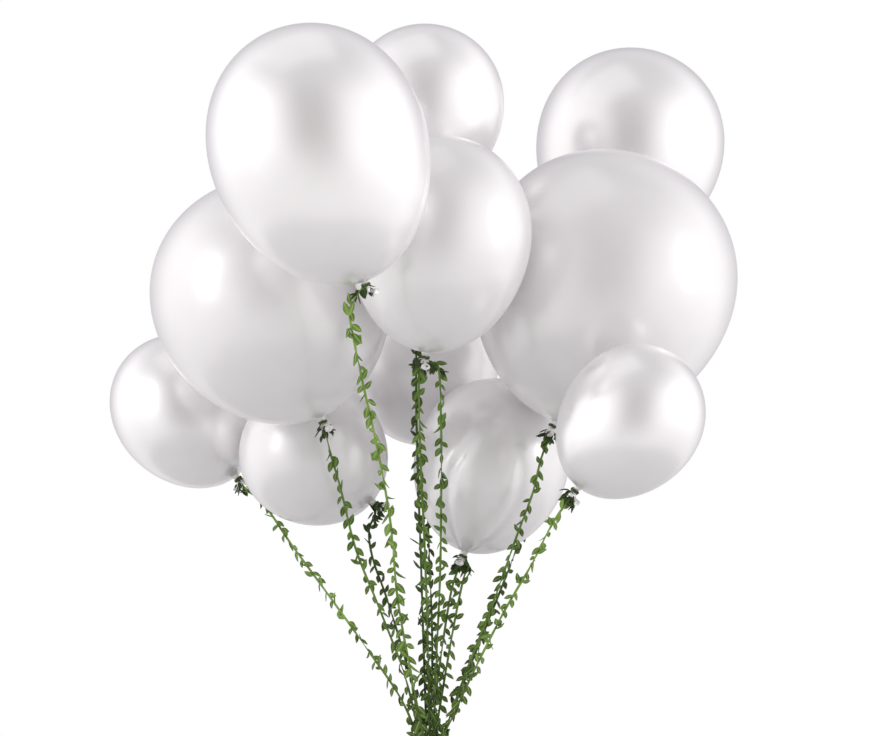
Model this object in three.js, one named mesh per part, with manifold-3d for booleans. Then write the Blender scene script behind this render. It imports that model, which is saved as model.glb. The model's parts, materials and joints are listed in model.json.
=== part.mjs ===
// A bouquet of helium balloons. Each one is a pearl latex balloon with a knotted neck, tied to its
// own length of leaf ribbon, and all the ribbons are bound together in one hand grip.
// Millimetres. +Z is up, +X is to the right and +Y is to the back. The origin is the middle of
// the binding, where a hand or a weight holds the bouquet.

import * as THREE from 'three';
import { mergeVertices } from 'three/addons/utils/BufferGeometryUtils.js';
import Module from 'manifold-3d';

const wasm = await Module();
wasm.setup();

// Balloons. tie is the middle of the tie round the neck. leanRight and leanFront turn the crown away
// from straight up, in degrees. lipTurn turns the open end of the neck about the balloon's own axis.
// length runs from the tie to the crown.
const BALLOONS = [
  {
    name: 'upper_left', tie: [-103, -430, 817], diameter: 353, length: 440,
    leanRight: -19, leanFront: 14, lipTurn: -35,
  },
  {
    name: 'top', tie: [-18, 40, 968], diameter: 273, length: 311,
    leanRight: 3, leanFront: -1.5, lipTurn: 150,
  },
  {
    name: 'upper_right', tie: [323, 322, 889], diameter: 340, length: 383,
    leanRight: 11, leanFront: -13, lipTurn: 60,
  },
  {
    name: 'middle', tie: [-8, -190, 701], diameter: 305, length: 373,
    leanRight: 7, leanFront: 7, lipTurn: -80,
  },
  {
    name: 'left', tie: [-184, -5, 590], diameter: 413, length: 441,
    leanRight: -22.4, leanFront: 0, lipTurn: -70,
  },
  {
    name: 'right', tie: [212, 28, 583], diameter: 452, length: 494,
    leanRight: 19.9, leanFront: -1, lipTurn: -95,
  },
  {
    name: 'far_left', tie: [-345, 315, 483], diameter: 252, length: 305,
    leanRight: -39, leanFront: -12.5, lipTurn: 175,
  },
  {
    name: 'far_right', tie: [241, -240, 479], diameter: 233, length: 282,
    leanRight: 38, leanFront: 9.5, lipTurn: -20,
  },
  {
    name: 'lower_left', tie: [-96, 198, 441], diameter: 262, length: 276,
    leanRight: -50, leanFront: -8, lipTurn: 20,
  },
  {
    name: 'back', tie: [-9, 358, 537], diameter: 278, length: 298,
    leanRight: -2, leanFront: -14, lipTurn: 90,
  },
  {
    name: 'lower_middle', tie: [58, 176, 351], diameter: 273, length: 324,
    leanRight: 17, leanFront: -7, lipTurn: -100,
  },
];

// Leaf ribbons. Each route runs from the binding up to the balloon's tie. Two balloons hang on a
// doubled ribbon.
const RIBBON_ROUTES = {
  upper_left: [[-5.1, -10.9, 17], [-30, -82, 152], [-54, -155, 293], [-65, -223, 421], [-84, -285, 539],
    [-106, -338, 642], [-123, -384, 728], [-129, -407, 774], [-114, -426, 806]],
  top: [[-4.8, 2.7, 17], [-15, 12, 330], [-24, 24, 650], [-18, 39, 948]],
  upper_right: [[9.2, 7.7, 17], [78, 130, 180], [150, 258, 350], [205, 322, 500], [262, 340, 690],
    [318, 317, 871]],
  middle: [[0, -12, 17], [-3, -54, 184], [-8, -97, 357], [-15, -135, 511], [-18, -161, 612],
    [-18, -185, 680]],
  middle_second: [[5.1, -10.9, 17], [10, -49, 167], [17, -88, 323], [19, -122, 460], [19, -152, 579],
    [15, -185, 680]],
  left: [[-12, 0, 17], [-41, -1, 146], [-86, -2, 267], [-127, -3, 370], [-153, -4, 473],
    [-170, -5, 533], [-179, -5, 570]],
  right: [[12, 1, 17], [57, 7, 146], [107, 13, 274], [147, 19, 386], [176, 22, 464],
    [192, 25, 527], [206, 27, 563]],
  far_left: [[-10.6, 5.6, 17], [-49, 65, 106], [-119, 129, 203], [-186, 187, 291], [-246, 239, 368],
    [-294, 282, 434], [-332, 304, 467]],
  far_right: [[9.8, -6.9, 17], [61, -68, 138], [122, -133, 266], [168, -175, 349], [197, -205, 409],
    [217, -225, 444], [232, -232, 462]],
  lower_left: [[-6.7, 9.9, 17], [-38, 73, 158], [-75, 125, 277], [-100, 156, 345], [-108, 177, 394],
    [-98, 190, 422]],
  back: [[-1.5, 11.9, 17], [4, 120, 180], [-2, 235, 360], [-9, 347, 520]],
  lower_middle: [[4.1, 11.3, 17], [9, 56, 107], [23, 105, 208], [37, 146, 290], [50, 167, 331]],
  lower_middle_second: [[3.9, 3.9, 17], [19, 51, 108], [40, 111, 225], [56, 150, 302], [64, 167, 331]],
};
const RIBBON_DIAMETER = 3.6;
const RIBBON_SIDES = 8;
const RIBBON_STEPS = 10;

// Latex balloon.
const LATEX_WALL = 0.9;
const NECK_WALL = 0.6;
const BALLOON_SIDES = 16;
const BALLOON_BANDS = 8;
const EGG = 0.07;
const NECK_RADIUS = 6.5;
const NECK_FOOT = 6;
const NECK_TOP = 9;

// Knotted neck, tie and open end. Heights are above the middle of the tie.
const SMALL_SIDES = 10;
const KNOT_RADIUS = 7.5;
const KNOT_HEIGHT = -8.5;
const WAIST_RADIUS = 4.6;
const LIP_RADIUS = 9.8;
const LIP_REACH = 20;
const LIP_DROOP = 18;
const TIE_BORE_RADIUS = 5.2;
const TIE_RADIUS = 8.6;
const TIE_HALF_HEIGHT = 3;

// Binding and the cut ribbon ends under it.
const BINDING_BORE_RADIUS = 12.6;
const BINDING_RADIUS = 16;
const BINDING_HALF_HEIGHT = 13;
const BUNDLE_TOP = 13.5;
const BUNDLE_FOOT = -62;
const BUNDLE_TOP_RADIUS = 15;
const BUNDLE_WAIST_RADIUS = 12;
const BUNDLE_FOOT_RADIUS = 15;
const BUNDLE_SIDES = 20;
const KNOT_TAIL_LENGTH = 34;

function latex() {
  return new THREE.MeshStandardMaterial({ color: 0xf1eff1, roughness: 0.22, metalness: 0 });
}

function leafGreen() {
  return new THREE.MeshStandardMaterial({ color: 0x64823f, roughness: 0.8, metalness: 0 });
}

function darkGreen() {
  return new THREE.MeshStandardMaterial({ color: 0x3a4c28, roughness: 0.85, metalness: 0 });
}

// A solid of revolution about +Z from [radius, height] points.
function turned(points, sides) {
  const profile = points.map(([radius, height]) => new THREE.Vector2(radius, height));
  return new THREE.LatheGeometry(profile, sides).rotateX(Math.PI / 2);
}

function manifoldOf(geometry) {
  const bare = geometry.clone();
  bare.deleteAttribute('normal');
  bare.deleteAttribute('uv');
  const merged = mergeVertices(bare, 1e-4);
  return new wasm.Manifold(new wasm.Mesh({
    numProp: 3,
    vertProperties: new Float32Array(merged.attributes.position.array),
    triVerts: new Uint32Array(merged.index.array),
  }));
}

function geometryOf(solid) {
  const mesh = solid.getMesh();
  const geometry = new THREE.BufferGeometry();
  geometry.setAttribute('position', new THREE.BufferAttribute(new Float32Array(mesh.vertProperties), 3));
  geometry.setIndex(new THREE.BufferAttribute(new Uint32Array(mesh.triVerts), 1));
  geometry.computeVertexNormals();
  return geometry;
}

// The blown body is an egg, widest a little above its middle. Its skin is open at the foot of the neck.
function eggPoint(turn, radius, foot, crown) {
  const widest = 1 + EGG * EGG / 2;
  return [
    radius * Math.sin(turn) * (1 + EGG * Math.cos(turn)) / widest,
    foot + (crown - foot) * (1 + Math.cos(turn)) / 2,
  ];
}

// One side of the skin, inset from the outside by the wall.
function skinSide(diameter, length, inset) {
  const radius = diameter / 2 - inset;
  const neckRadius = NECK_RADIUS - Math.min(inset, NECK_WALL);
  const neckTurn = Math.PI - neckRadius / radius;
  const points = [[0, length - inset]];
  for (let band = 1; band <= BALLOON_BANDS; band += 1) {
    points.push(eggPoint(neckTurn * band / BALLOON_BANDS, radius, NECK_TOP + inset, length - inset));
  }
  points.push([neckRadius, NECK_FOOT]);
  return points;
}

function envelopeGeometry(diameter, length) {
  const outside = skinSide(diameter, length, 0);
  const inside = skinSide(diameter, length, LATEX_WALL);
  return turned([...inside, ...outside.reverse()], BALLOON_SIDES);
}

function neckGeometry() {
  const knot = turned([
    [0, KNOT_HEIGHT - KNOT_RADIUS * 0.8], [5.5, KNOT_HEIGHT - 4.5], [KNOT_RADIUS, KNOT_HEIGHT],
    [WAIST_RADIUS, -TIE_HALF_HEIGHT - 0.4], [WAIST_RADIUS, TIE_HALF_HEIGHT + 0.2],
    [NECK_RADIUS - 0.3, NECK_FOOT - 0.5], [0, NECK_FOOT - 0.5],
  ], SMALL_SIDES);
  const lip = turned([
    [0, 1], [4.4, 2], [5.5, 11], [LIP_RADIUS, LIP_REACH - 2], [LIP_RADIUS - 1.4, LIP_REACH],
    [LIP_RADIUS - 3, LIP_REACH - 2], [0, 12],
  ], SMALL_SIDES);
  lip.rotateY(THREE.MathUtils.degToRad(90 + LIP_DROOP)).translate(0, 0, KNOT_HEIGHT);
  return geometryOf(manifoldOf(knot).add(manifoldOf(lip)));
}

function tieGeometry() {
  return turned([
    [TIE_BORE_RADIUS, -TIE_HALF_HEIGHT + 0.4], [TIE_RADIUS, -TIE_HALF_HEIGHT + 1.2],
    [TIE_RADIUS, TIE_HALF_HEIGHT - 1.2], [TIE_BORE_RADIUS, TIE_HALF_HEIGHT - 0.4],
    [TIE_BORE_RADIUS, -TIE_HALF_HEIGHT + 0.4],
  ], SMALL_SIDES);
}

function ribbonGeometry(route) {
  const points = route.map((p) => new THREE.Vector3(...p));
  const path = new THREE.CatmullRomCurve3(points, false, 'catmullrom', 0.5);
  const section = new THREE.Shape();
  section.absarc(0, 0, RIBBON_DIAMETER / 2, 0, 2 * Math.PI);
  return new THREE.ExtrudeGeometry(section, {
    steps: RIBBON_STEPS, curveSegments: RIBBON_SIDES / 2, extrudePath: path, bevelEnabled: false,
  });
}

function bundleGeometry() {
  return turned([
    [0, BUNDLE_FOOT], [BUNDLE_FOOT_RADIUS, BUNDLE_FOOT], [BUNDLE_WAIST_RADIUS, -BINDING_HALF_HEIGHT - 4],
    [BUNDLE_WAIST_RADIUS, BINDING_HALF_HEIGHT - 3], [BUNDLE_TOP_RADIUS - 3, BUNDLE_TOP], [0, BUNDLE_TOP],
  ], BUNDLE_SIDES);
}

function bindingGeometry() {
  const bore = BINDING_BORE_RADIUS;
  const half = BINDING_HALF_HEIGHT;
  return turned([
    [bore, -half + 1], [BINDING_RADIUS - 1, -half], [BINDING_RADIUS, -half + 2], [BINDING_RADIUS, half - 2],
    [BINDING_RADIUS - 1, half], [bore, half - 1], [bore, -half + 1],
  ], BUNDLE_SIDES);
}

// The binding's own knot, with two short tails that hang down in front.
function bindingKnotGeometry() {
  const knot = turned([[0, -6], [5, -4], [6.5, 0], [5, 4], [0, 6]], SMALL_SIDES);
  let solid = manifoldOf(knot);
  for (const side of [-1, 1]) {
    const tail = new THREE.BoxGeometry(6, 1.6, KNOT_TAIL_LENGTH).translate(0, 0, -KNOT_TAIL_LENGTH / 2);
    tail.rotateY(THREE.MathUtils.degToRad(-22 * side)).translate(2 * side, 0, 0);
    solid = solid.add(manifoldOf(tail));
  }
  return geometryOf(solid);
}

const bouquet = new THREE.Group();

function add(parent, name, geometry, material) {
  const mesh = new THREE.Mesh(geometry, material);
  mesh.name = name;
  parent.add(mesh);
  return mesh;
}

function addBalloon({ name, tie, leanRight, leanFront, lipTurn, diameter, length }) {
  const balloon = new THREE.Group();
  const [front, right, turn] = [leanFront, leanRight, lipTurn].map(THREE.MathUtils.degToRad);
  balloon.position.set(...tie);
  balloon.rotation.set(front, right, turn, 'YXZ');
  add(balloon, `envelope_${name}`, envelopeGeometry(diameter, length), latex());
  add(balloon, `neck_${name}`, neckGeometry(), latex());
  add(balloon, `tie_${name}`, tieGeometry(), darkGreen());
  bouquet.add(balloon);
}

BALLOONS.forEach(addBalloon);

for (const [name, route] of Object.entries(RIBBON_ROUTES)) {
  add(bouquet, `ribbon_${name}`, ribbonGeometry(route), leafGreen());
}

add(bouquet, 'ribbon_bundle', bundleGeometry(), leafGreen());
add(bouquet, 'binding', bindingGeometry(), darkGreen());
add(bouquet, 'binding_knot', bindingKnotGeometry(), darkGreen()).position.set(0, -BINDING_RADIUS - 7, 0);

export default bouquet;
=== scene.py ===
"""Bouquet of pearl latex balloons on leaf ribbons: the visible pieces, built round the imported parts.

Everything is in metres in the frame of the parts: +Z up, +X right, +Y back, origin in the hand grip.
Each balloon is worked out in a frame of its own: origin in the middle of its tie, third axis
towards its crown, first axis towards the open end of its knotted neck.
"""

import json
import math

import bpy
import numpy as np
from mathutils import Matrix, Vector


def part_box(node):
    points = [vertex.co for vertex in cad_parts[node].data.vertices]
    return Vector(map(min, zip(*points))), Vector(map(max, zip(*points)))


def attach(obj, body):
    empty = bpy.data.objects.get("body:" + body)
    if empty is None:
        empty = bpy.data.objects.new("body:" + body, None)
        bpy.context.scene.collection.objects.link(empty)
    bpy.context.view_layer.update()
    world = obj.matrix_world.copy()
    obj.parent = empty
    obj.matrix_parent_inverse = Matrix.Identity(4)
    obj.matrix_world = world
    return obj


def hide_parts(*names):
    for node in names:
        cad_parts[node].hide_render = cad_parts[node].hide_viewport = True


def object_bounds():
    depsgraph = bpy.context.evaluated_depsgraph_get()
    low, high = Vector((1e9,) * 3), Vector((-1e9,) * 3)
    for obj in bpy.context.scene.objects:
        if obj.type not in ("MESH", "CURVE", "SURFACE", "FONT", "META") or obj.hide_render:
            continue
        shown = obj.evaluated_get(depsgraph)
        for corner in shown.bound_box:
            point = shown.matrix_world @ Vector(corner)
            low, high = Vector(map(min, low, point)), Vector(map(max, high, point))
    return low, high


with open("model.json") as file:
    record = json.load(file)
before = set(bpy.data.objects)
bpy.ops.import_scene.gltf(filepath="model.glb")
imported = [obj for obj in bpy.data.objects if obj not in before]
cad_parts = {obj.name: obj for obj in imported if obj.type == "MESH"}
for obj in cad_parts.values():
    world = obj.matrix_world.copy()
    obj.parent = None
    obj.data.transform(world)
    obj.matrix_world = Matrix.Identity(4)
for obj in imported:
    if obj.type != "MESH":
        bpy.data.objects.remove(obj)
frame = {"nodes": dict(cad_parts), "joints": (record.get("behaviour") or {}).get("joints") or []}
PART_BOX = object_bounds()

bl_info = {
    "name": "Balloon Bouquet",
    "version": (1, 0, 0),
    "blender": (4, 5, 0),
    "location": "View3D > Sidebar > Bouquet",
    "description": "Latex balloons on leaf ribbons, bound together in one hand grip",
    "category": "Object",
}

TAU = 2 * math.pi

# Leaf ribbons, from the binding up to each balloon's tie. Two balloons hang on a doubled ribbon.
RIBBON_ROUTES = {
    "upper_left": [
        (-0.0051, -0.0109, 0.017), (-0.03, -0.082, 0.152), (-0.054, -0.155, 0.293),
        (-0.065, -0.223, 0.421), (-0.084, -0.285, 0.539), (-0.106, -0.338, 0.642),
        (-0.123, -0.384, 0.728), (-0.129, -0.407, 0.774), (-0.114, -0.426, 0.806),
    ],
    "top": [
        (-0.0048, 0.0027, 0.017), (-0.015, 0.012, 0.33), (-0.024, 0.024, 0.65), (-0.018, 0.039, 0.948),
    ],
    "upper_right": [
        (0.0092, 0.0077, 0.017), (0.078, 0.13, 0.18), (0.15, 0.258, 0.35), (0.205, 0.322, 0.5),
        (0.262, 0.34, 0.69), (0.318, 0.317, 0.871),
    ],
    "middle": [
        (0, -0.012, 0.017), (-0.003, -0.054, 0.184), (-0.008, -0.097, 0.357), (-0.015, -0.135, 0.511),
        (-0.018, -0.161, 0.612), (-0.018, -0.185, 0.68),
    ],
    "middle_second": [
        (0.0051, -0.0109, 0.017), (0.01, -0.049, 0.167), (0.017, -0.088, 0.323), (0.019, -0.122, 0.46),
        (0.019, -0.152, 0.579), (0.015, -0.185, 0.68),
    ],
    "left": [
        (-0.012, 0, 0.017), (-0.041, -0.001, 0.146), (-0.086, -0.002, 0.267), (-0.127, -0.003, 0.37),
        (-0.153, -0.004, 0.473), (-0.17, -0.005, 0.533), (-0.179, -0.005, 0.57),
    ],
    "right": [
        (0.012, 0.001, 0.017), (0.057, 0.007, 0.146), (0.107, 0.013, 0.274), (0.147, 0.019, 0.386),
        (0.176, 0.022, 0.464), (0.192, 0.025, 0.527), (0.206, 0.027, 0.563),
    ],
    "far_left": [
        (-0.0106, 0.0056, 0.017), (-0.049, 0.065, 0.106), (-0.119, 0.129, 0.203),
        (-0.186, 0.187, 0.291), (-0.246, 0.239, 0.368), (-0.294, 0.282, 0.434), (-0.332, 0.304, 0.467),
    ],
    "far_right": [
        (0.0098, -0.0069, 0.017), (0.061, -0.068, 0.138), (0.122, -0.133, 0.266),
        (0.168, -0.175, 0.349), (0.197, -0.205, 0.409), (0.217, -0.225, 0.444), (0.232, -0.232, 0.462),
    ],
    "lower_left": [
        (-0.0067, 0.0099, 0.017), (-0.038, 0.073, 0.158), (-0.075, 0.125, 0.277), (-0.1, 0.156, 0.345),
        (-0.108, 0.177, 0.394), (-0.098, 0.19, 0.422),
    ],
    "back": [
        (-0.0015, 0.0119, 0.017), (0.004, 0.12, 0.18), (-0.002, 0.235, 0.36), (-0.009, 0.347, 0.52),
    ],
    "lower_middle": [
        (0.0041, 0.0113, 0.017), (0.009, 0.056, 0.107), (0.023, 0.105, 0.208), (0.037, 0.146, 0.29),
        (0.05, 0.167, 0.331),
    ],
    "lower_middle_second": [
        (0.0039, 0.0039, 0.017), (0.019, 0.051, 0.108), (0.04, 0.111, 0.225), (0.056, 0.15, 0.302),
        (0.064, 0.167, 0.331),
    ],
}

# Tone of the leaves and stem on each ribbon, as lit and shaded copies of one felt green: light is
# painted light on the outer ribbons, dark is painted shade on the rear ribbons, and the rest are middle.
RIBBON_TONES = {
    "upper_left": "light", "far_left": "light", "far_right": "light",
    "top": "dark", "upper_right": "dark", "back": "dark", "lower_left": "dark",
}

# Balloons that hang in the outer ring of the bouquet. Their latex is the whiter, lit copy as painted
# light; the inner balloons get a greyer copy as painted shade.
LIT_BALLOONS = ("upper_left", "top", "upper_right", "far_left", "far_right")

# Balloon skin.
SKIN_COLUMNS = 128
SKIN_ROWS = 72
NECK_TOP = 0.009
NECK_FOOT = 0.006
NECK_RADIUS = 0.0065

# Balloons whose skin is drawn into long folds, and how far each fold stands round from the front.
CREASES = {"lower_middle": (-0.55, 0.52)}
CREASE_DEPTH = 0.0055
CREASE_WIDTH = 0.075

# Shoulder between the neck and the blown skin, and how far up the pleats reach from the neck.
SHOULDER_HEIGHT = 0.05
SHOULDER_TURN = 2.0
PLEAT_HEIGHT = 0.014

# Knot and open end of the neck.
NECK_COLUMNS = 40
KNOT_HEIGHT = -0.0085
LIP_DROOP = math.radians(18)

# Ribbons. The foot is the route's first point, drawn in towards the middle of the grip by these
# shares. The top is this share of the way from the route's last point to the middle of the tie.
STEP_ALONG = 0.004
SECTION_SIDES = 8
FOOT_SHARES = (0.96, 0.96, 0.6)
TOP_SHARE = 0.62

# Leaves. A size is a multiple of the full leaf.
LEAF_ROWS = 7
LEAF_SIDES = 8
LEAF_HALF_THICKNESS = 0.00042
MIDRIB_SWELL = 0.0006
LEAF_SIZE = 0.98
LARGE_LEAF_SIZES = {"upper_left": 1.2}
CUT_LEAF_SIZE = 0.62

# Ribbon wound round each neck, and the ring that the leaves there start from.
TIE_RADIUS = 0.0068
TIE_HALF_HEIGHT = 0.0018
TIE_BAND_WIDTH = 0.0023
TIE_BAND_THICKNESS = 0.0022
TIE_LEAF_RADIUS = 0.007

# Ribbon wound round the bundle.
BINDING_INSET = 0.0015
BINDING_OVERLAP = 1.04
BINDING_BAND_THICKNESS = 0.0026
BINDING_STEPS = 48


# ---------------------------------------------------------------- settings


class BouquetBalloonSettings(bpy.types.PropertyGroup):
    """Shape and finish of the latex."""

    egg: bpy.props.FloatProperty(
        name="Egg", description="How far the widest ring sits above the middle",
        default=0.07, min=0, max=0.3,
    )
    pleats: bpy.props.IntProperty(
        name="Pleats", description="Folds gathered round the neck", default=11, min=3, max=30,
    )
    pleat_depth: bpy.props.FloatProperty(
        name="Pleat Depth", description="Depth of a fold at the neck", default=0.0007, unit="LENGTH",
    )
    unevenness: bpy.props.FloatProperty(
        name="Unevenness", description="How far the skin strays from round, as a share of its radius",
        default=0.004, min=0, max=0.03,
    )
    # Lit and shaded copies of one latex: the whiter is painted light on the outer balloons, the greyer
    # is painted shade on the inner ones.
    pearl_lit: bpy.props.FloatVectorProperty(
        name="Bright Pearl", description="Latex of the outer balloons", size=3, subtype="COLOR",
        default=(0.95, 0.935, 0.94), min=0, max=1,
    )
    pearl_shaded: bpy.props.FloatVectorProperty(
        name="Soft Pearl", description="Latex of the inner balloons", size=3, subtype="COLOR",
        default=(0.885, 0.87, 0.875), min=0, max=1,
    )


class BouquetRibbonSettings(bpy.types.PropertyGroup):
    """Felt ribbon with cut leaves."""

    stem_width: bpy.props.FloatProperty(
        name="Stem Width", description="Width of the flat stem", default=0.0042, unit="LENGTH",
    )
    stem_thickness: bpy.props.FloatProperty(
        name="Stem Thickness", description="Thickness of the felt", default=0.0013, unit="LENGTH",
    )
    leaf_length: bpy.props.FloatProperty(
        name="Leaf Length", description="Length of a full leaf", default=0.0205, unit="LENGTH",
    )
    leaf_width: bpy.props.FloatProperty(
        name="Leaf Width", description="Width of a full leaf", default=0.0096, unit="LENGTH",
    )
    leaf_gap: bpy.props.FloatProperty(
        name="Leaf Gap", description="Distance along the stem from one leaf to the next",
        default=0.0102, unit="LENGTH",
    )
    # Lit and shaded copies of one felt green: light is painted light, dark is painted shade on the rear
    # ribbons and at the ties under the balloons.
    light: bpy.props.FloatVectorProperty(
        name="Light Green", description="Leaves in full light", size=3, subtype="COLOR",
        default=(0.190, 0.310, 0.062), min=0, max=1,
    )
    middle: bpy.props.FloatVectorProperty(
        name="Middle Green", description="Most of the leaves", size=3, subtype="COLOR",
        default=(0.114, 0.196, 0.036), min=0, max=1,
    )
    dark: bpy.props.FloatVectorProperty(
        name="Dark Green", description="Leaves of the rear ribbons and the ties",
        size=3, subtype="COLOR", default=(0.048, 0.084, 0.016), min=0, max=1,
    )


class BouquetBindingSettings(bpy.types.PropertyGroup):
    """Winding that gathers the ribbons into a hand grip."""

    turns: bpy.props.FloatProperty(
        name="Turns", description="Turns of ribbon in the binding", default=5, min=2, max=12,
    )
    tie_turns: bpy.props.FloatProperty(
        name="Tie Turns", description="Turns of ribbon round each neck", default=3, min=1, max=6,
    )
    tie_leaves: bpy.props.IntProperty(
        name="Tie Leaves", description="Leaves crowded at each tie", default=20, min=0, max=30,
    )
    shade: bpy.props.FloatVectorProperty(
        name="Binding Green", description="Felt of the binding", size=3, subtype="COLOR",
        default=(0.042, 0.078, 0.016), min=0, max=1,
    )


class BouquetStageSettings(bpy.types.PropertyGroup):
    """Floor, lights and camera."""

    camera_distance: bpy.props.FloatProperty(
        name="Camera Distance", description="From the camera to the plane of the grip",
        default=7.0, unit="LENGTH",
    )
    camera_height: bpy.props.FloatProperty(
        name="Camera Height", description="Height of the camera over the grip",
        default=0.683, unit="LENGTH",
    )
    camera_side: bpy.props.FloatProperty(
        name="Camera Side", description="Sideways place of the camera", default=0.0086, unit="LENGTH",
    )
    view_width: bpy.props.FloatProperty(
        name="View Width", description="Width of the view at the plane of the grip",
        default=1.4964, unit="LENGTH",
    )
    floor_radius: bpy.props.FloatProperty(
        name="Floor Radius", description="Radius of the pale floor", default=1.15, unit="LENGTH",
    )
    side_power: bpy.props.FloatProperty(
        name="Side Light", description="Power of the right softbox; the left one has 0.8 of it",
        default=10, unit="POWER",
    )
    top_power: bpy.props.FloatProperty(
        name="Top Light", description="Power of the softbox overhead", default=5, unit="POWER",
    )


SETTINGS = {
    "bouquet_balloon": BouquetBalloonSettings,
    "bouquet_ribbon": BouquetRibbonSettings,
    "bouquet_binding": BouquetBindingSettings,
    "bouquet_stage": BouquetStageSettings,
}


# ---------------------------------------------------------------- surfaces


def unit(vectors):
    """Each vector divided by its own length."""
    return vectors / np.linalg.norm(vectors, axis=-1, keepdims=True)


def curve_through(points, steps=40):
    """Uniform Catmull-Rom curve: between two points, the cubic that leaves each of them along the
    line joining its neighbours. An end's missing neighbour is its mirror image in the end."""
    p = np.asarray(points, float)
    p = np.vstack([2 * p[0] - p[1], p, 2 * p[-1] - p[-2]])
    before, start, end, after = (p[i:len(p) - 3 + i, None] for i in range(4))
    t = (np.arange(steps) / steps)[None, :, None]
    spans = 0.5 * (
        2 * start + (end - before) * t + (2 * before - 5 * start + 4 * end - after) * t**2
        + (3 * start - before - 3 * end + after) * t**3
    )
    return np.vstack([spans.reshape(-1, p.shape[1]), p[-2]])


def lengths_along(path):
    """Distance travelled from the first point to each point of a path."""
    return np.concatenate([[0], np.cumsum(np.linalg.norm(np.diff(path, axis=0), axis=1))])


def at_distances(path, distances, values=None):
    """Points at given distances along a path, or other values that go with its points."""
    values = path if values is None else values
    travelled = lengths_along(path)
    return np.stack([np.interp(distances, travelled, column) for column in values.T], axis=1)


def closed_tube(rings, uv=None):
    """A closed skin over a grid of rings (rows, columns, 3): quads between neighbouring rings, and
    a fan at each end onto the middle of the end ring. Faces point outwards."""
    rows, columns = rings.shape[:2]
    points = np.vstack([rings.reshape(-1, 3), rings[0].mean(0), rings[-1].mean(0)])
    grid = np.meshgrid(np.arange(rows - 1), np.arange(columns), indexing="ij")
    row, column = (numbers.ravel() for numbers in grid)
    after = (column + 1) % columns
    quads = np.stack(
        [row * columns + column, row * columns + after, (row + 1) * columns + after,
         (row + 1) * columns + column], axis=1)
    ring = np.arange(columns)
    turned = (ring + 1) % columns
    foot, crown = rows * columns, rows * columns + 1
    last = (rows - 1) * columns
    fans = np.vstack([
        np.stack([turned, ring, np.full(columns, foot)], axis=1),
        np.stack([last + ring, last + turned, np.full(columns, crown)], axis=1),
    ])
    corners = points[np.vstack([quads[:, :3], quads[:, [0, 2, 3]], fans])]
    volume = np.einsum("ij,ij->i", corners[:, 0], np.cross(corners[:, 1], corners[:, 2])).sum()
    if volume < 0:
        quads, fans = quads[:, ::-1], fans[:, ::-1]
    if uv is None:
        along = np.linspace(0, 1, rows)[:, None] + np.zeros(columns)
        around = np.linspace(0, 1, columns)[None, :] + np.zeros((rows, 1))
        uv = np.stack([along, around], axis=-1)
    flat_uv = np.vstack([uv.reshape(-1, 2), uv[0].mean(0), uv[-1].mean(0)])
    shade = np.ones(len(points))
    return {"points": points, "quads": quads, "fans": fans, "uv": flat_uv, "shade": shade}


def joined(shells):
    """Several skins as one: their points in a row, their faces counted on."""
    starts = np.cumsum([0] + [len(s["points"]) for s in shells[:-1]])
    merged = {key: np.concatenate([s[key] for s in shells]) for key in ("points", "uv", "shade")}
    for key in ("quads", "fans"):
        merged[key] = np.concatenate([s[key] + start for s, start in zip(shells, starts)])
    return merged


def copies(shell, points, shades):
    """One skin repeated: points holds the points of each copy, shades its tone."""
    count, size = points.shape[:2]
    offsets = (np.arange(count) * size)[:, None, None]
    return {
        "points": points.reshape(-1, 3),
        "quads": (shell["quads"][None] + offsets).reshape(-1, 4),
        "fans": (shell["fans"][None] + offsets).reshape(-1, 3),
        "uv": np.tile(shell["uv"], (count, 1)),
        "shade": np.repeat(shades, size),
    }


def new_piece(name, shell, material):
    """A smooth-shaded mesh object from one skin, at the origin, with its UV map and its tones."""
    mesh = bpy.data.meshes.new(name)
    mesh.from_pydata(shell["points"].tolist(), [], shell["quads"].tolist() + shell["fans"].tolist())
    corner_points = np.empty(len(mesh.loops), np.int32)
    mesh.loops.foreach_get("vertex_index", corner_points)
    layer = mesh.uv_layers.new(name="surface")
    layer.data.foreach_set("uv", shell["uv"][corner_points].astype(np.float32).ravel())
    tones = mesh.attributes.new("shade", "FLOAT", "POINT")
    tones.data.foreach_set("value", shell["shade"].astype(np.float32))
    mesh.polygons.foreach_set("use_smooth", np.ones(len(mesh.polygons), bool))
    mesh.materials.append(material)
    mesh.update()
    piece = bpy.data.objects.new(name, mesh)
    bpy.context.scene.collection.objects.link(piece)
    return piece


def strip(path, across, width, thickness):
    """A flat band carried along a path. Its section is a rounded oblong: cosine and sine of the turn,
    each pulled out by a square root, times half the width and half the thickness."""
    tangent = unit(np.gradient(path, axis=0))
    across = unit(across - tangent * np.einsum("ij,ij->i", across, tangent)[:, None])
    facing = np.cross(tangent, across)
    turn = (np.arange(SECTION_SIDES) + 0.5) / SECTION_SIDES * TAU
    wide = np.sign(np.cos(turn)) * np.abs(np.cos(turn)) ** 0.5 * width / 2
    thick = np.sign(np.sin(turn)) * np.abs(np.sin(turn)) ** 0.5 * thickness / 2
    aside = across[:, None] * wide[None, :, None]
    forward = facing[:, None] * thick[None, :, None]
    return closed_tube(path[:, None] + aside + forward)


# ---------------------------------------------------------------- balloon frames


def corner_points_of(node):
    """All points of a part's mesh."""
    mesh = frame["nodes"][node].data
    points = np.empty(len(mesh.vertices) * 3, np.float32)
    mesh.vertices.foreach_get("co", points)
    return points.reshape(-1, 3).astype(float)


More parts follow.
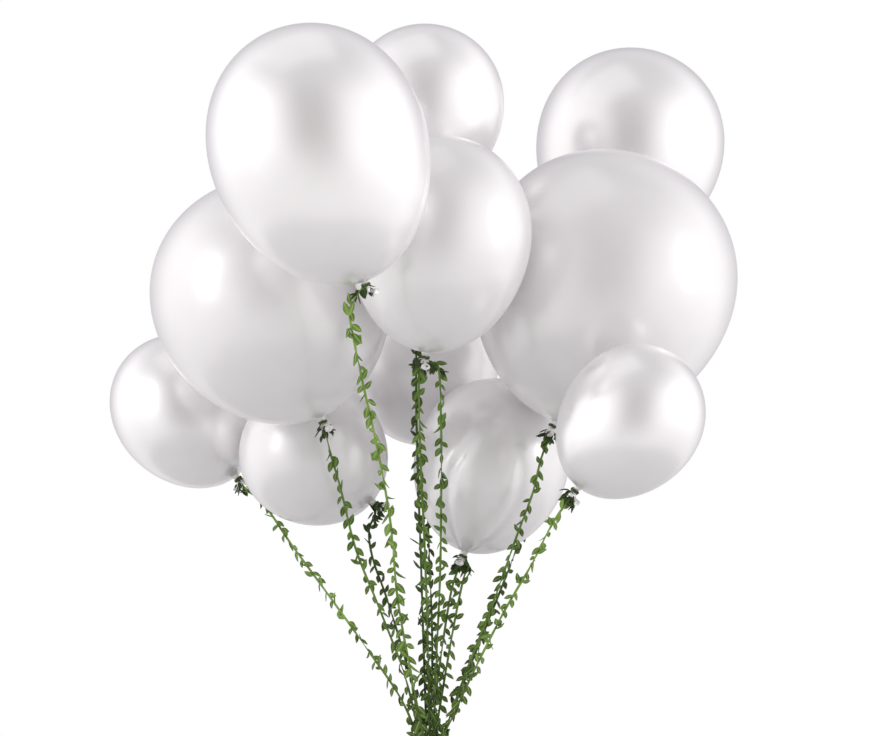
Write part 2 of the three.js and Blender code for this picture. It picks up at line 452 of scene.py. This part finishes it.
def balloon_frame(name):
    """Origin, three axes, length and diameter of one balloon, from its joint and its parts."""
    joint = next(j for j in frame["joints"] if j["name"] == f"{name}_nod")
    tie = np.array(joint["pos_m"])
    skin = corner_points_of(f"envelope_{name}") - tie
    crown = skin[np.argmax(np.linalg.norm(skin, axis=1))]
    length = float(np.linalg.norm(crown))
    axis = crown / length
    radii = np.linalg.norm(skin - np.outer(skin @ axis, axis), axis=1)
    neck = corner_points_of(f"neck_{name}") - tie
    out = neck - np.outer(neck @ axis, axis)
    reach = np.linalg.norm(out, axis=1)
    lip = unit(out[reach > 0.7 * reach.max()].mean(0))
    return {
        "name": name, "tie": tie, "axes": np.stack([lip, np.cross(axis, lip), axis]),
        "length": length, "diameter": 2 * float(radii.max()),
    }


BALLOON_NAMES = [j["name"][:-4] for j in frame["joints"] if j["name"].endswith("_nod")]
BALLOONS = {name: balloon_frame(name) for name in BALLOON_NAMES}


def placed(local, balloon):
    """Points of a balloon's own frame, in the frame of the parts."""
    return local @ balloon["axes"] + balloon["tie"]


def string_of(ribbon):
    """The balloon that a ribbon holds."""
    return ribbon.removesuffix("_second")


# ---------------------------------------------------------------- materials


class Value:
    """A number or colour that varies over a surface. Python's operators on it add Math nodes."""

    def __init__(self, recipe, socket):
        self.recipe = recipe
        self.socket = socket

    def math(self, operation, *operands):
        return self.recipe.node("ShaderNodeMath", {"operation": operation}, dict(enumerate(operands)))

    def __add__(self, other):
        return self.math("ADD", self, other)

    def __sub__(self, other):
        return self.math("SUBTRACT", self, other)

    def __rsub__(self, other):
        return self.math("SUBTRACT", other, self)

    def __mul__(self, other):
        return self.math("MULTIPLY", self, other)

    def __abs__(self):
        return self.math("ABSOLUTE", self)

    def fraction(self):
        return self.math("FRACT", self)

    def between(self, low, high):
        """0 below low, 1 above high, and smooth between them."""
        return self.recipe.node(
            "ShaderNodeMapRange", {"interpolation_type": "SMOOTHSTEP"},
            {"Value": self, "From Min": low, "From Max": high},
        )

    __radd__ = __add__
    __rmul__ = __mul__


class Recipe:
    """The node tree of one material or of the world."""

    def __init__(self, tree):
        self.tree = tree
        tree.nodes.clear()

    def node(self, kind, settings=None, inputs=None, output=0):
        """Add a node: its settings first, then the values or links of its sockets. Returns one
        output, or None where the node ends the tree."""
        made = self.tree.nodes.new(kind)
        for key, value in (settings or {}).items():
            setattr(made, key, value)
        for key, value in (inputs or {}).items():
            if isinstance(value, Value):
                self.tree.links.new(value.socket, made.inputs[key])
            else:
                made.inputs[key].default_value = value
        return Value(self, made.outputs[output]) if made.outputs else None

    def colour(self, low, high, factor):
        """One colour where factor is 0, the other where it is 1."""
        low, high = (c if isinstance(c, Value) else (*c, 1) for c in (low, high))
        return self.node(
            "ShaderNodeMix", {"data_type": "RGBA", "clamp_factor": True},
            {0: factor, 6: low, 7: high}, output=2,
        )

    def noise(self, scale, detail=2.0, stretch=None):
        """Noise on the object's own coordinates, in cells per metre."""
        place = self.node("ShaderNodeTexCoord", output="Object")
        if stretch is not None:
            place = self.node("ShaderNodeMapping", {}, {"Vector": place, "Scale": stretch})
        return self.node("ShaderNodeTexNoise", {}, {"Vector": place, "Scale": scale, "Detail": detail})

    def coordinate(self, kind, axis):
        """One axis of the object's own coordinates, of its UV map or of the direction seen."""
        place = self.node("ShaderNodeTexCoord", output=kind)
        return self.node("ShaderNodeSeparateXYZ", {}, {"Vector": place}, output=axis)

    def bump(self, height, distance):
        """A normal tilted by a height, in metres at height 1."""
        return self.node("ShaderNodeBump", {}, {"Height": height, "Distance": distance}, output="Normal")

    def finish(self, **sockets):
        """The surface shader, with its sockets named in lower case."""
        names = {key.replace("_", " ").title(): value for key, value in sockets.items()}
        names = {key.replace("Ior", "IOR"): value for key, value in names.items()}
        shader = self.node("ShaderNodeBsdfPrincipled", {}, names)
        self.node("ShaderNodeOutputMaterial", {}, {"Surface": shader})


def new_recipe(name):
    """A new material, and the recipe of its node tree."""
    material = bpy.data.materials.new(name)
    material.use_nodes = True
    return material, Recipe(material.node_tree)


def tinted(colour, factor):
    """A colour with each of its parts times a factor, and at most 1."""
    return tuple(min(1.0, c * factor) for c in colour)


def pearl_latex(name, colour, sheen):
    """Pearl latex: a soft cloudiness a hand wide, a fine pearl grain, and a thin gloss over it. The
    sheen is how much of its light comes back as from pearl powder."""
    material, recipe = new_recipe(name)
    cloud = recipe.noise(7, 3.0).between(0.3, 0.7)
    grain = recipe.noise(650, 2.0)
    base = recipe.colour(tinted(colour, 0.965), tinted(colour, 1.02), cloud)
    speck = recipe.colour(base, tinted(colour, 1.1), grain.between(0.62, 0.8) * 0.35)
    recipe.finish(
        base_color=speck, roughness=grain * 0.06 + 0.27, metallic=sheen, coat_weight=0.45,
        coat_roughness=0.19, normal=recipe.bump(grain, 0.00003),
    )
    return material


def felt(name, colour, veins):
    """Brushed felt: matted fibres, a tone of its own on each leaf, slow changes of tone along the
    ribbon, and painted shade that makes it darker low down, where the ribbons crowd at the grip. A leaf
    has a dark edge and a pale middle vein with side veins that run forward from it."""
    material, recipe = new_recipe(name)
    fibres = recipe.noise(1500, 3.0, (1.0, 1.0, 0.45))
    patch = recipe.noise(60, 2.0).between(0.3, 0.7)
    tone = recipe.node("ShaderNodeAttribute", {"attribute_name": "shade"}, output="Fac")
    stretch = recipe.noise(11, 1.0).between(0.36, 0.64)
    shade = tone * 0.6 + patch * 0.15 + stretch * 0.25
    base = recipe.colour(tinted(colour, 0.26), tinted(colour, 1.5), shade)
    # Painted shade: darker low down, towards the grip where the ribbons crowd, and a little more where
    # the slow tone is dark.
    low = 1 - recipe.coordinate("Object", "Z").between(0.07, 0.26)
    base = recipe.colour(base, tinted(colour, 0.34), low * 0.62 + (1 - stretch) * 0.12)
    base = recipe.colour(base, tinted(colour, 0.7), fibres.between(0.5, 0.75) * 0.5)
    height = fibres * 0.35
    if veins:
        along = recipe.coordinate("UV", "X")
        aside = abs(recipe.coordinate("UV", "Y") - 0.5)
        middle = 1 - aside.between(0.03, 0.09)
        ray = abs((along * 7 - aside * 5).fraction() - 0.5)
        sides = (1 - ray.between(0.06, 0.17)) * (1 - aside.between(0.36, 0.48))
        base = recipe.colour(base, tinted(colour, 0.3), aside.between(0.26, 0.48) * 0.6)
        base = recipe.colour(base, tinted(colour, 2.1), middle * 0.75 + sides * 0.3)
        height = height + middle * 0.9 + sides * 0.5
    recipe.finish(
        base_color=base, roughness=fibres * 0.2 + 0.66, specular_ior_level=0.25,
        sheen_weight=0.08, sheen_roughness=0.5,
        normal=recipe.bump(height, 0.0004),
    )
    return material


MATERIALS = {}


def finish_named(name):
    """A finish of the bouquet, made once."""
    scene = bpy.context.scene
    makers = {
        # The two pearl latexes are lit and shaded copies of one latex: painted light on the outer
        # balloons, painted shade on the inner ones.
        "lit_pearl_latex": lambda: pearl_latex(
            "lit_pearl_latex", scene.bouquet_balloon.pearl_lit, 0.55),
        "shaded_pearl_latex": lambda: pearl_latex(
            "shaded_pearl_latex", scene.bouquet_balloon.pearl_shaded, 0.3),
        "binding_felt": lambda: felt("binding_felt", scene.bouquet_binding.shade, False),
    }
    # The leaf and stem felts come as lit and shaded copies: light is painted light, dark is painted
    # shade.
    for tone in ("light", "middle", "dark"):
        colour = getattr(scene.bouquet_ribbon, tone)
        makers[f"{tone}_leaf_felt"] = lambda c=colour, t=tone: felt(f"{t}_leaf_felt", c, True)
        makers[f"{tone}_stem_felt"] = lambda c=colour, t=tone: felt(f"{t}_stem_felt", c, False)
    if name not in MATERIALS:
        MATERIALS[name] = makers[name]()
    return MATERIALS[name]


def latex_of(name):
    """The pearl latex of one balloon: the whiter copy, painted light, on the outer balloons, and the
    greyer copy, painted shade, on the inner ones.
    """
    return finish_named("lit_pearl_latex" if name in LIT_BALLOONS else "shaded_pearl_latex")


# ---------------------------------------------------------------- leaves


def leaf_template(length, width):
    """A flat pointed leaf along +X, its face towards +Z. Half its width is the 0.9th power of the
    sine of pi times the 0.85th power of the share of the length. It is thickest along the middle."""
    along = (np.arange(LEAF_ROWS) + 0.35) / (LEAF_ROWS - 0.3)
    half = width / 2 * np.sin(math.pi * along**0.85) ** 0.9
    turn = np.arange(LEAF_SIDES) / LEAF_SIDES * TAU
    across = half[:, None] * np.cos(turn)
    midrib = MIDRIB_SWELL * (1 - np.abs(np.cos(turn))) * np.sign(np.sin(turn)) * 0.4
    thick = np.tile(LEAF_HALF_THICKNESS * np.sin(turn) + midrib, (LEAF_ROWS, 1))
    rings = np.stack([np.repeat(along[:, None] * length, LEAF_SIDES, axis=1), across, thick], axis=-1)
    along_leaf = np.repeat(along[:, None], LEAF_SIDES, axis=1)
    uv = np.stack([along_leaf, 0.5 + 0.5 * across / (width / 2)], axis=-1)
    return closed_tube(rings, uv)


def leaves(bases, directions, facings, sizes, curls, shades):
    """A leaf at each base. It bends out of its plane by curl times the square of the distance
    along it, and its two halves fold up a little from the middle vein."""
    settings = bpy.context.scene.bouquet_ribbon
    shell = leaf_template(settings.leaf_length, settings.leaf_width)
    local = shell["points"]
    direction = unit(directions)
    side = unit(np.cross(facings, direction))
    facing = np.cross(direction, side)
    lift = curls[:, None] * (local[:, 0] / settings.leaf_length) ** 2 * settings.leaf_length
    fold = 0.28 * np.abs(local[:, 1])
    points = (
        bases[:, None]
        + direction[:, None] * (local[:, 0] * sizes[:, None])[..., None]
        + side[:, None] * (local[:, 1] * sizes[:, None])[..., None]
        + facing[:, None] * ((local[:, 2] + fold + lift) * sizes[:, None])[..., None]
    )
    return copies(shell, points, shades)


def ribbon_frames(path, seed):
    """The direction across a ribbon at each of its points: sideways to the front, turned slowly to
    and fro by a few slow waves."""
    rng = np.random.default_rng(seed)
    tangent = unit(np.gradient(path, axis=0))
    sideways = unit(np.cross(tangent, [0.0, 1.0, 0.0]))
    facing = np.cross(sideways, tangent)
    travelled = lengths_along(path)
    twist = sum(
        rng.uniform(0.3, 0.7) * np.sin(travelled * TAU / wave + rng.uniform(0, TAU))
        for wave in (0.31, 0.17, 0.09)
    )
    return tangent, sideways * np.cos(twist)[:, None] + facing * np.sin(twist)[:, None]


def leaves_along(path, seed, size=1.0, start=0.006, stop=0.004):
    """Leaves set turn about on the two edges of a ribbon, most of them towards its foot."""
    settings = bpy.context.scene.bouquet_ribbon
    rng = np.random.default_rng(seed + 1000)
    total = lengths_along(path)[-1]
    count = max(1, int((total - start - stop) / settings.leaf_gap))
    share = (np.arange(count) + rng.uniform(-0.3, 0.3, count) + 0.5) / count
    spots = start + share * (total - start - stop)
    tangent, across = ribbon_frames(path, seed)
    base, along, side = (at_distances(path, spots, values) for values in (path, tangent, across))
    hand = np.where(np.arange(count) % 2 == 0, 1.0, -1.0)
    forward = np.where(rng.random(count) < 0.68, -1.0, 1.0)
    angle = np.radians(rng.uniform(20, 46, count))
    facing = np.cross(along, side)
    direction = (
        along * (forward * np.cos(angle))[:, None] + side * (hand * np.sin(angle))[:, None]
        + facing * rng.uniform(-0.3, 0.3, count)[:, None]
    )
    face = facing + 0.42 * rng.normal(size=(count, 3))
    sizes = size * rng.uniform(0.74, 1.06, count)
    return leaves(
        base + side * (hand * settings.stem_width * 0.25)[:, None], direction, face, sizes,
        rng.uniform(-0.28, 0.28, count), rng.uniform(0.05, 0.95, count),
    )


# ---------------------------------------------------------------- pieces


def ribbon_path(ribbon):
    """The whole line of a ribbon: from inside the binding, along its route, to the knot at the tie.
    The curve is uniform, so it overshoots where a short span meets a long one: at the foot it
    doubles back inside the binding, and at three of the ties it does so in or beside the knot."""
    route = np.array(RIBBON_ROUTES[ribbon])
    tie = BALLOONS[string_of(ribbon)]["tie"]
    foot = route[0] * FOOT_SHARES
    top = route[-1] + TOP_SHARE * (tie - route[-1])
    curve = curve_through(np.vstack([foot, route, top]))
    count = int(lengths_along(curve)[-1] / STEP_ALONG)
    return at_distances(curve, np.linspace(0, lengths_along(curve)[-1], count))


class BOUQUET_OT_ribbons(bpy.types.Operator):
    """Make the leaf ribbons from the binding up to the ties"""

    bl_idname = "bouquet.ribbons"
    bl_label = "Leaf Ribbons"

    def execute(self, context):
        settings = context.scene.bouquet_ribbon
        for seed, ribbon in enumerate(RIBBON_ROUTES):
            path = ribbon_path(ribbon)
            tone = RIBBON_TONES.get(string_of(ribbon), "middle")
            size = LARGE_LEAF_SIZES.get(ribbon, LEAF_SIZE)
            across = ribbon_frames(path, seed)[1]
            stem = new_piece(
                f"leaf_ribbon_{ribbon}",
                strip(path, across, settings.stem_width, settings.stem_thickness),
                finish_named(f"{tone}_stem_felt"))
            foliage = new_piece(
                f"leaves_{ribbon}", leaves_along(path, seed, size), finish_named(f"{tone}_leaf_felt"))
            for piece in (stem, foliage):
                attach(piece, f"string_{string_of(ribbon)}")
            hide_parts(f"ribbon_{ribbon}")
        return {"FINISHED"}


def ring_points(spread, around, height):
    """Rings about the third axis: each point's distance from it, its turn and its ring's height."""
    heights = np.repeat(height[:, None], len(around), 1)
    return np.stack([spread * np.cos(around), spread * np.sin(around), heights], -1)


def skin_rings(balloon, settings, seed):
    """The blown skin in the balloon's own frame. At turn t from the crown, the radius is R sin t
    (1 + egg cos t), and the height runs as (1 + cos t) / 2 from the neck to the crown. A smooth
    maximum with the neck's radius makes the shoulder, and pleats die away over it. A fold is a bell
    curve round the skin, sunk by CREASE_DEPTH, that fades out towards the neck and the crown."""
    rng = np.random.default_rng(seed)
    half = balloon["diameter"] / 2
    turn = np.linspace(0.012, math.pi, SKIN_ROWS)
    widest = 1 + settings.egg**2 / 2
    radius = half * np.sin(turn) * (1 + settings.egg * np.cos(turn)) / widest
    height = NECK_TOP + (balloon["length"] - NECK_TOP) * (1 + np.cos(turn)) / 2
    neck = NECK_RADIUS / (1 + ((height - NECK_TOP) / SHOULDER_HEIGHT) ** 2)
    radius = np.where(turn > SHOULDER_TURN, (radius**3 + neck**3) ** (1 / 3), radius)
    radius = np.append(radius, [NECK_RADIUS, NECK_RADIUS * 0.97])
    height = np.append(height, [NECK_TOP - 0.0015, NECK_FOOT])
    around = np.arange(SKIN_COLUMNS) / SKIN_COLUMNS * TAU
    pleat = settings.pleat_depth * np.exp(-((height - NECK_FOOT) / PLEAT_HEIGHT))
    ripple = np.cos(settings.pleats * around) + 0.4 * np.cos((settings.pleats + 5) * around + 1.0)
    swell = sum(
        rng.uniform(0.3, 1.0) * np.cos(order * around[None] + rng.uniform(0, TAU))
        * np.sin(height / balloon["length"] * math.pi * wave + rng.uniform(0, TAU))[:, None]
        for order, wave in ((1, 2.0), (2, 1.0), (3, 1.5))
    )
    spread = radius[:, None] * (1 + settings.unevenness * swell) + pleat[:, None] * ripple
    share = height[:, None] / balloon["length"]
    for place in CREASES.get(balloon["name"], ()):
        front = math.atan2(-balloon["axes"][1][1], -balloon["axes"][0][1])
        bent = front + place * np.sin(math.pi * np.clip(share + 0.22, 0, 1))
        apart = (around[None] - bent + math.pi) % TAU - math.pi
        fade = np.clip(share / 0.08, 0, 1) * np.clip((0.66 - share) / 0.3, 0, 1)
        spread = spread - CREASE_DEPTH * fade * np.exp(-((apart / CREASE_WIDTH) ** 2))
    return ring_points(spread, around, height)


class BOUQUET_OT_balloons(bpy.types.Operator):
    """Make the blown latex skins"""

    bl_idname = "bouquet.balloons"
    bl_label = "Balloons"

    def execute(self, context):
        for seed, (name, balloon) in enumerate(BALLOONS.items()):
            rings = placed(skin_rings(balloon, context.scene.bouquet_balloon, seed), balloon)
            piece = new_piece(f"balloon_{name}", closed_tube(rings), latex_of(name))
            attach(piece, f"balloon_{name}")
            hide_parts(f"envelope_{name}")
        return {"FINISHED"}


def knot_rings():
    """The neck under the balloon: a drawn-in waist inside the tie, then the knot, whose two strands
    show as two lobes that wind round it."""
    profile = curve_through(1e-3 * np.array([
        (6.3, 6.2), (5.0, 3.0), (4.6, 0.0), (4.9, -3.2), (6.6, -5.6), (7.4, -8.5), (6.6, -11.4),
        (3.6, -13.6), (0.8, -14.2),
    ]), 5)
    radius, height = profile.T
    around = np.arange(NECK_COLUMNS) / NECK_COLUMNS * TAU
    bulge = np.exp(-(((height - KNOT_HEIGHT) / 0.0035) ** 2))
    lobes = 0.11 * bulge[:, None] * np.cos(2 * around[None] + 420 * height[:, None])
    creases = 0.05 * (1 - bulge)[:, None] * np.cos(9 * around)[None]
    spread = radius[:, None] * (1 + lobes + creases)
    return ring_points(spread, around, height)


def lip_rings():
    """The open end of the neck: a flattened tube that leaves the knot, flares to a rolled rim, and
    goes back inside to a shallow closed throat. It is creased along its length, less so at the rim."""
    profile = curve_through(1e-3 * np.array([
        (1.2, 1.0), (3.6, 3.0), (4.0, 7.0), (4.8, 11.0), (6.4, 15.0), (7.4, 16.8), (7.5, 17.9),
        (6.7, 18.5), (5.9, 17.9), (4.9, 16.8), (3.4, 15.9), (2.0, 15.4), (0.5, 15.2),
    ]), 4)
    radius, reach = profile.T
    around = np.arange(NECK_COLUMNS) / NECK_COLUMNS * TAU
    crease = 0.09 * np.cos(5 * around + 0.7) + 0.05 * np.cos(8 * around + 2.0)
    spread = radius[:, None] * (1 + crease[None] * (1 - reach / 0.026)[:, None])
    reaches = np.repeat(reach[:, None], NECK_COLUMNS, 1)
    flat = np.stack([reaches, spread * np.cos(around), 0.78 * spread * np.sin(around)], -1)
    c, s = math.cos(LIP_DROOP), math.sin(LIP_DROOP)
    return flat @ np.array([[c, 0, -s], [0, 1, 0], [s, 0, c]]) + [0, 0, KNOT_HEIGHT]


class BOUQUET_OT_necks(bpy.types.Operator):
    """Make the knotted necks with their rolled open ends"""

    bl_idname = "bouquet.necks"
    bl_label = "Knotted Necks"

    def execute(self, context):
        for name, balloon in BALLOONS.items():
            shells = [closed_tube(placed(rings, balloon)) for rings in (knot_rings(), lip_rings())]
            piece = new_piece(f"knotted_neck_{name}", joined(shells), latex_of(name))
            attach(piece, f"balloon_{name}")
            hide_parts(f"neck_{name}")
        return {"FINISHED"}


def winding(radius, half_height, turns, steps=26):
    """A flat ribbon wound round the third axis: a helix of one radius that climbs from one end of
    the winding to the other, its ends tucked 1 mm inwards. Also the way across the ribbon."""
    share = np.linspace(0, 1, int(turns * steps))
    turn = share * turns * TAU
    tucked = radius - 0.001 * np.clip(1 - np.minimum(share, 1 - share) * turns * 4, 0, 1)
    height = (share * 2 - 1) * half_height
    path = np.stack([tucked * np.cos(turn), tucked * np.sin(turn), height], axis=1)
    upright = np.repeat([[0.0, 0.0, 1.0]], len(path), axis=0)
    return path, upright


def tie_leaves(balloon, settings, seed):
    """Leaves crowded round a tie and along the way to where each ribbon starts."""
    rng = np.random.default_rng(seed + 500)
    ends = [np.array(RIBBON_ROUTES[r][-1]) for r in RIBBON_ROUTES if string_of(r) == balloon["name"]]
    count = settings.tie_leaves * len(ends)
    turn = (np.arange(count) + rng.uniform(-0.3, 0.3, count)) / count * TAU
    axis = balloon["axes"][2]
    out = np.cos(turn)[:, None] * balloon["axes"][0] + np.sin(turn)[:, None] * balloon["axes"][1]
    towards = np.array(ends)[np.arange(count) % len(ends)] - balloon["tie"]
    share = rng.uniform(0.0, 1.0, count)[:, None]
    bases = balloon["tie"] + out * TIE_LEAF_RADIUS + towards * share - axis * 0.001
    outward = rng.uniform(0.15, 1.0, count)[:, None]
    downward = rng.uniform(0.1, 1.3, count)[:, None]
    direction = out * outward - axis * downward
    face = axis + out * 0.8 + 0.6 * rng.normal(size=(count, 3))
    # These leaves take darker tones than those on the ribbons, as painted shade under the balloon.
    return leaves(
        bases, direction, face, rng.uniform(0.6, 0.95, count), rng.uniform(-0.45, 0.45, count),
        rng.uniform(0.0, 0.7, count),
    )


class BOUQUET_OT_ties(bpy.types.Operator):
    """Make the ribbon wound round each neck, and the leaves crowded at it"""

    bl_idname = "bouquet.ties"
    bl_label = "Ties"

    def execute(self, context):
        settings = context.scene.bouquet_binding
        for seed, (name, balloon) in enumerate(BALLOONS.items()):
            path, upright = winding(TIE_RADIUS, TIE_HALF_HEIGHT, settings.tie_turns)
            across = upright @ balloon["axes"]
            wound = strip(placed(path, balloon), across, TIE_BAND_WIDTH, TIE_BAND_THICKNESS)
            # The dark felt of the winding and its leaves is painted shade under the balloon.
            band = new_piece(f"tie_winding_{name}", wound, finish_named("dark_stem_felt"))
            foliage = new_piece(
                f"tie_leaves_{name}", tie_leaves(balloon, settings, seed),
                finish_named("dark_leaf_felt"))
            for piece in (band, foliage):
                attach(piece, f"balloon_{name}")
            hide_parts(f"tie_{name}")
        return {"FINISHED"}


class BOUQUET_OT_bundle(bpy.types.Operator):
    """Make the gathered ribbons under and inside the binding, with their cut ends"""

    bl_idname = "bouquet.bundle"
    bl_label = "Gathered Ribbons"

    def execute(self, context):
        settings = context.scene.bouquet_ribbon
        low, high = (np.array(corner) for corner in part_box("ribbon_bundle"))
        rng = np.random.default_rng(77)
        stems, foliage = [], []
        for index, route in enumerate(RIBBON_ROUTES.values()):
            foot = np.array(route[0][:2])
            end = low[2] + 0.0005 + rng.uniform(0, 0.009)
            heights = np.array([high[2], 0.006, -0.010, -0.024, (end - 0.024) / 2, end])
            spread = np.array([0.86, 0.80, 0.80, 0.88, 1.0, 1.1])
            swing = rng.normal(size=(6, 2)) * 0.0006
            points = np.column_stack([foot * spread[:, None] + swing, heights])
            path = curve_through(points, 8)
            outward = np.append(foot / np.linalg.norm(foot), 0)
            across = np.repeat([np.cross(outward, [0, 0, 1.0])], len(path), axis=0)
            stems.append(strip(path, across, settings.stem_width, settings.stem_thickness))
            tail = path[path[:, 2] < -0.018]
            foliage.append(leaves_along(tail, 40 + index, CUT_LEAF_SIZE, start=0.004, stop=0.008))
        bunch = new_piece("gathered_ribbons", joined(stems), finish_named("middle_stem_felt"))
        cut_leaves = new_piece("gathered_leaves", joined(foliage), finish_named("middle_leaf_felt"))
        for piece in (bunch, cut_leaves):
            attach(piece, "grip")
        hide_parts("ribbon_bundle")
        return {"FINISHED"}


class BOUQUET_OT_binding(bpy.types.Operator):
    """Make the ribbon wound round the bundle, and its knot with two tails"""

    bl_idname = "bouquet.binding"
    bl_label = "Binding"

    def execute(self, context):
        settings = context.scene.bouquet_binding
        low, high = (np.array(corner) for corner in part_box("binding"))
        half = (high[2] - low[2]) / 2
        turns = settings.turns
        width = 2 * half / turns * BINDING_OVERLAP
        path, upright = winding(high[0] - BINDING_INSET, half - width / 2, turns, BINDING_STEPS)
        band = new_piece(
            "binding_winding", strip(path, upright, width, BINDING_BAND_THICKNESS),
            finish_named("binding_felt"))
        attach(band, "grip")
        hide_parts("binding")
        knot = new_piece("binding_bow", joined(self.knot_shells()), finish_named("binding_felt"))
        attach(knot, "grip")
        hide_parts("binding_knot")
        return {"FINISHED"}

    def knot_shells(self):
        """A flat knot of two crossed wraps, and two tails that hang in a slow wave to cut ends."""
        low, high = (np.array(corner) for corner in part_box("binding_knot"))
        centre = np.array([0, (low[1] + high[1]) / 2, 0])
        turn = np.linspace(0, TAU * 0.97, 30)
        shells = []
        for tilt in (-0.5, 0.5):
            ring = np.stack(
                [0.0046 * np.cos(turn), 0.0036 * np.sin(turn), 0.0006 * np.sin(turn)], axis=1)
            c, s = math.cos(tilt), math.sin(tilt)
            path = ring @ np.array([[c, 0, s], [0, 1, 0], [-s, 0, c]]) + centre
            across = np.repeat([[-s, 0.0, c]], len(path), axis=0)
            shells.append(strip(path, across, 0.0085, 0.0016))
        for side in (-1, 1):
            tail = centre + np.array([
                (0.001 * side, 0.0, -0.001), (0.004 * side, -0.0008, -0.008),
                (0.008 * side, 0.0006, -0.016), (0.0105 * side, -0.0006, -0.024),
                (0.0135 * side, 0.0004, low[2] + 0.001),
            ])
            path = curve_through(tail, 8)
            across = np.repeat([[1.0, 0.25 * side, 0.35 * side]], len(path), axis=0)
            shells.append(strip(path, across, 0.0058, 0.0014))
        return shells


def new_light(name, power, place, size, target):
    """A rectangular softbox that faces a target."""
    lamp = bpy.data.lights.new(name, "AREA")
    lamp.shape = "RECTANGLE"
    lamp.size, lamp.size_y = size
    lamp.energy = power
    holder = bpy.data.objects.new(name, lamp)
    away = unit(np.array(place, float) - np.array(target, float))
    side = unit(np.cross([0.0, 0.0, 1.0], away) + [1e-9, 0, 0])
    up = np.cross(away, side)
    pose = np.eye(4)
    pose[:3] = np.column_stack([side, up, away, place])
    holder.matrix_world = Matrix(pose.tolist())
    bpy.context.scene.collection.objects.link(holder)


def studio_world():
    """A white room. The light that it gives is brightest at the sides and a little less bright from
    below. It is grey from overhead and from the back, and darkest in an upright band to the front."""
    world = bpy.data.worlds.new("studio")
    world.use_nodes = True
    recipe = Recipe(world.node_tree)
    aside = abs(recipe.coordinate("Generated", "X"))
    depth = recipe.coordinate("Generated", "Y")
    height = recipe.coordinate("Generated", "Z")
    front = (1 - aside.between(0.12, 0.82)) * (depth * -1.0).between(-0.1, 0.5)
    behind = depth.between(0.3, 0.92)
    below = (height * -1.0).between(-0.05, 0.7)
    above = height.between(0.45, 0.95)
    room = recipe.colour((1.34, 1.32, 1.33), (0.37, 0.357, 0.355), front)
    room = recipe.colour(room, (0.48, 0.465, 0.50), behind)
    room = recipe.colour(room, (0.92, 0.905, 0.905), below)
    room = recipe.colour(room, (0.58, 0.57, 0.585), above)
    seen = recipe.node("ShaderNodeLightPath", output="Is Camera Ray")
    shown = recipe.colour(room, (1.0, 1.0, 1.0), seen)
    surface = recipe.node("ShaderNodeBackground", {}, {"Color": shown, "Strength": 1.0})
    recipe.node("ShaderNodeOutputWorld", {}, {"Surface": surface})
    return world


def floor_material():
    """Matt pale paper with a faint mottle."""
    material, recipe = new_recipe("pale_floor")
    mottle = recipe.noise(12, 2.0)
    base = recipe.colour((0.66, 0.66, 0.665), (0.70, 0.70, 0.705), mottle)
    recipe.finish(base_color=base, roughness=0.8)
    return material


class BOUQUET_OT_stage(bpy.types.Operator):
    """Make the floor, the studio light and the camera"""

    bl_idname = "bouquet.stage"
    bl_label = "Stage"

    def execute(self, context):
        scene = context.scene
        settings = scene.bouquet_stage
        self.floor(settings.floor_radius)
        middle = (0.0, 0.0, 0.7)
        new_light("left_softbox", settings.side_power * 0.8, (-2.6, -1.5, 1.4), (0.9, 1.8), middle)
        new_light("right_softbox", settings.side_power, (2.9, -0.8, 1.3), (0.35, 1.3), middle)
        new_light("top_softbox", settings.top_power, (-0.6, -0.2, 3.4), (2.2, 2.2), middle)
        scene.world = studio_world()
        scene.view_settings.view_transform = "Standard"
        lens = bpy.data.cameras.new("camera")
        lens.sensor_width = 36
        lens.lens = lens.sensor_width * settings.camera_distance / settings.view_width
        camera = bpy.data.objects.new("camera", lens)
        camera.location = (settings.camera_side, -settings.camera_distance, settings.camera_height)
        camera.rotation_euler = (math.pi / 2, 0, 0)
        scene.collection.objects.link(camera)
        scene.camera = camera
        return {"FINISHED"}

    def floor(self, radius):
        """A thin disc just under the cut ribbon ends."""
        low = PART_BOX[0][2] - 0.002
        turn = np.arange(96) / 96 * TAU
        rings = np.array([
            np.stack([r * np.cos(turn), r * np.sin(turn), np.full(96, z)], axis=1)
            for r, z in ((radius * 0.5, low), (radius - 0.002, low), (radius, low - 0.002),
                         (radius - 0.002, low - 0.004), (radius * 0.5, low - 0.004))
        ])
        disc = new_piece("floor", closed_tube(rings), floor_material())


PIECE_OPERATORS = (
    BOUQUET_OT_stage,
    BOUQUET_OT_ribbons,
    BOUQUET_OT_balloons,
    BOUQUET_OT_necks,
    BOUQUET_OT_ties,
    BOUQUET_OT_bundle,
    BOUQUET_OT_binding,
)


class BOUQUET_PT_sidebar(bpy.types.Panel):
    """The bouquet's pieces and settings"""

    bl_idname = "BOUQUET_PT_sidebar"
    bl_label = "Balloon Bouquet"
    bl_space_type = "VIEW_3D"
    bl_region_type = "UI"
    bl_category = "Bouquet"

    def draw(self, context):
        for operator in PIECE_OPERATORS:
            self.layout.operator(operator.bl_idname)
        for pointer, group in SETTINGS.items():
            box = self.layout.box()
            for name in group.__annotations__:
                box.prop(getattr(context.scene, pointer), name)


def register():
    for group in (*SETTINGS.values(), *PIECE_OPERATORS, BOUQUET_PT_sidebar):
        bpy.utils.register_class(group)
    for pointer, group in SETTINGS.items():
        setattr(bpy.types.Scene, pointer, bpy.props.PointerProperty(type=group))


def unregister():
    for pointer in SETTINGS:
        delattr(bpy.types.Scene, pointer)
    for group in (BOUQUET_PT_sidebar, *reversed(PIECE_OPERATORS), *SETTINGS.values()):
        bpy.utils.unregister_class(group)


def main():
    register()
    for name in ("stage", "ribbons", "balloons", "necks", "ties", "bundle", "binding"):
        getattr(bpy.ops.bouquet, name)()


if __name__ == "__main__":
    main()
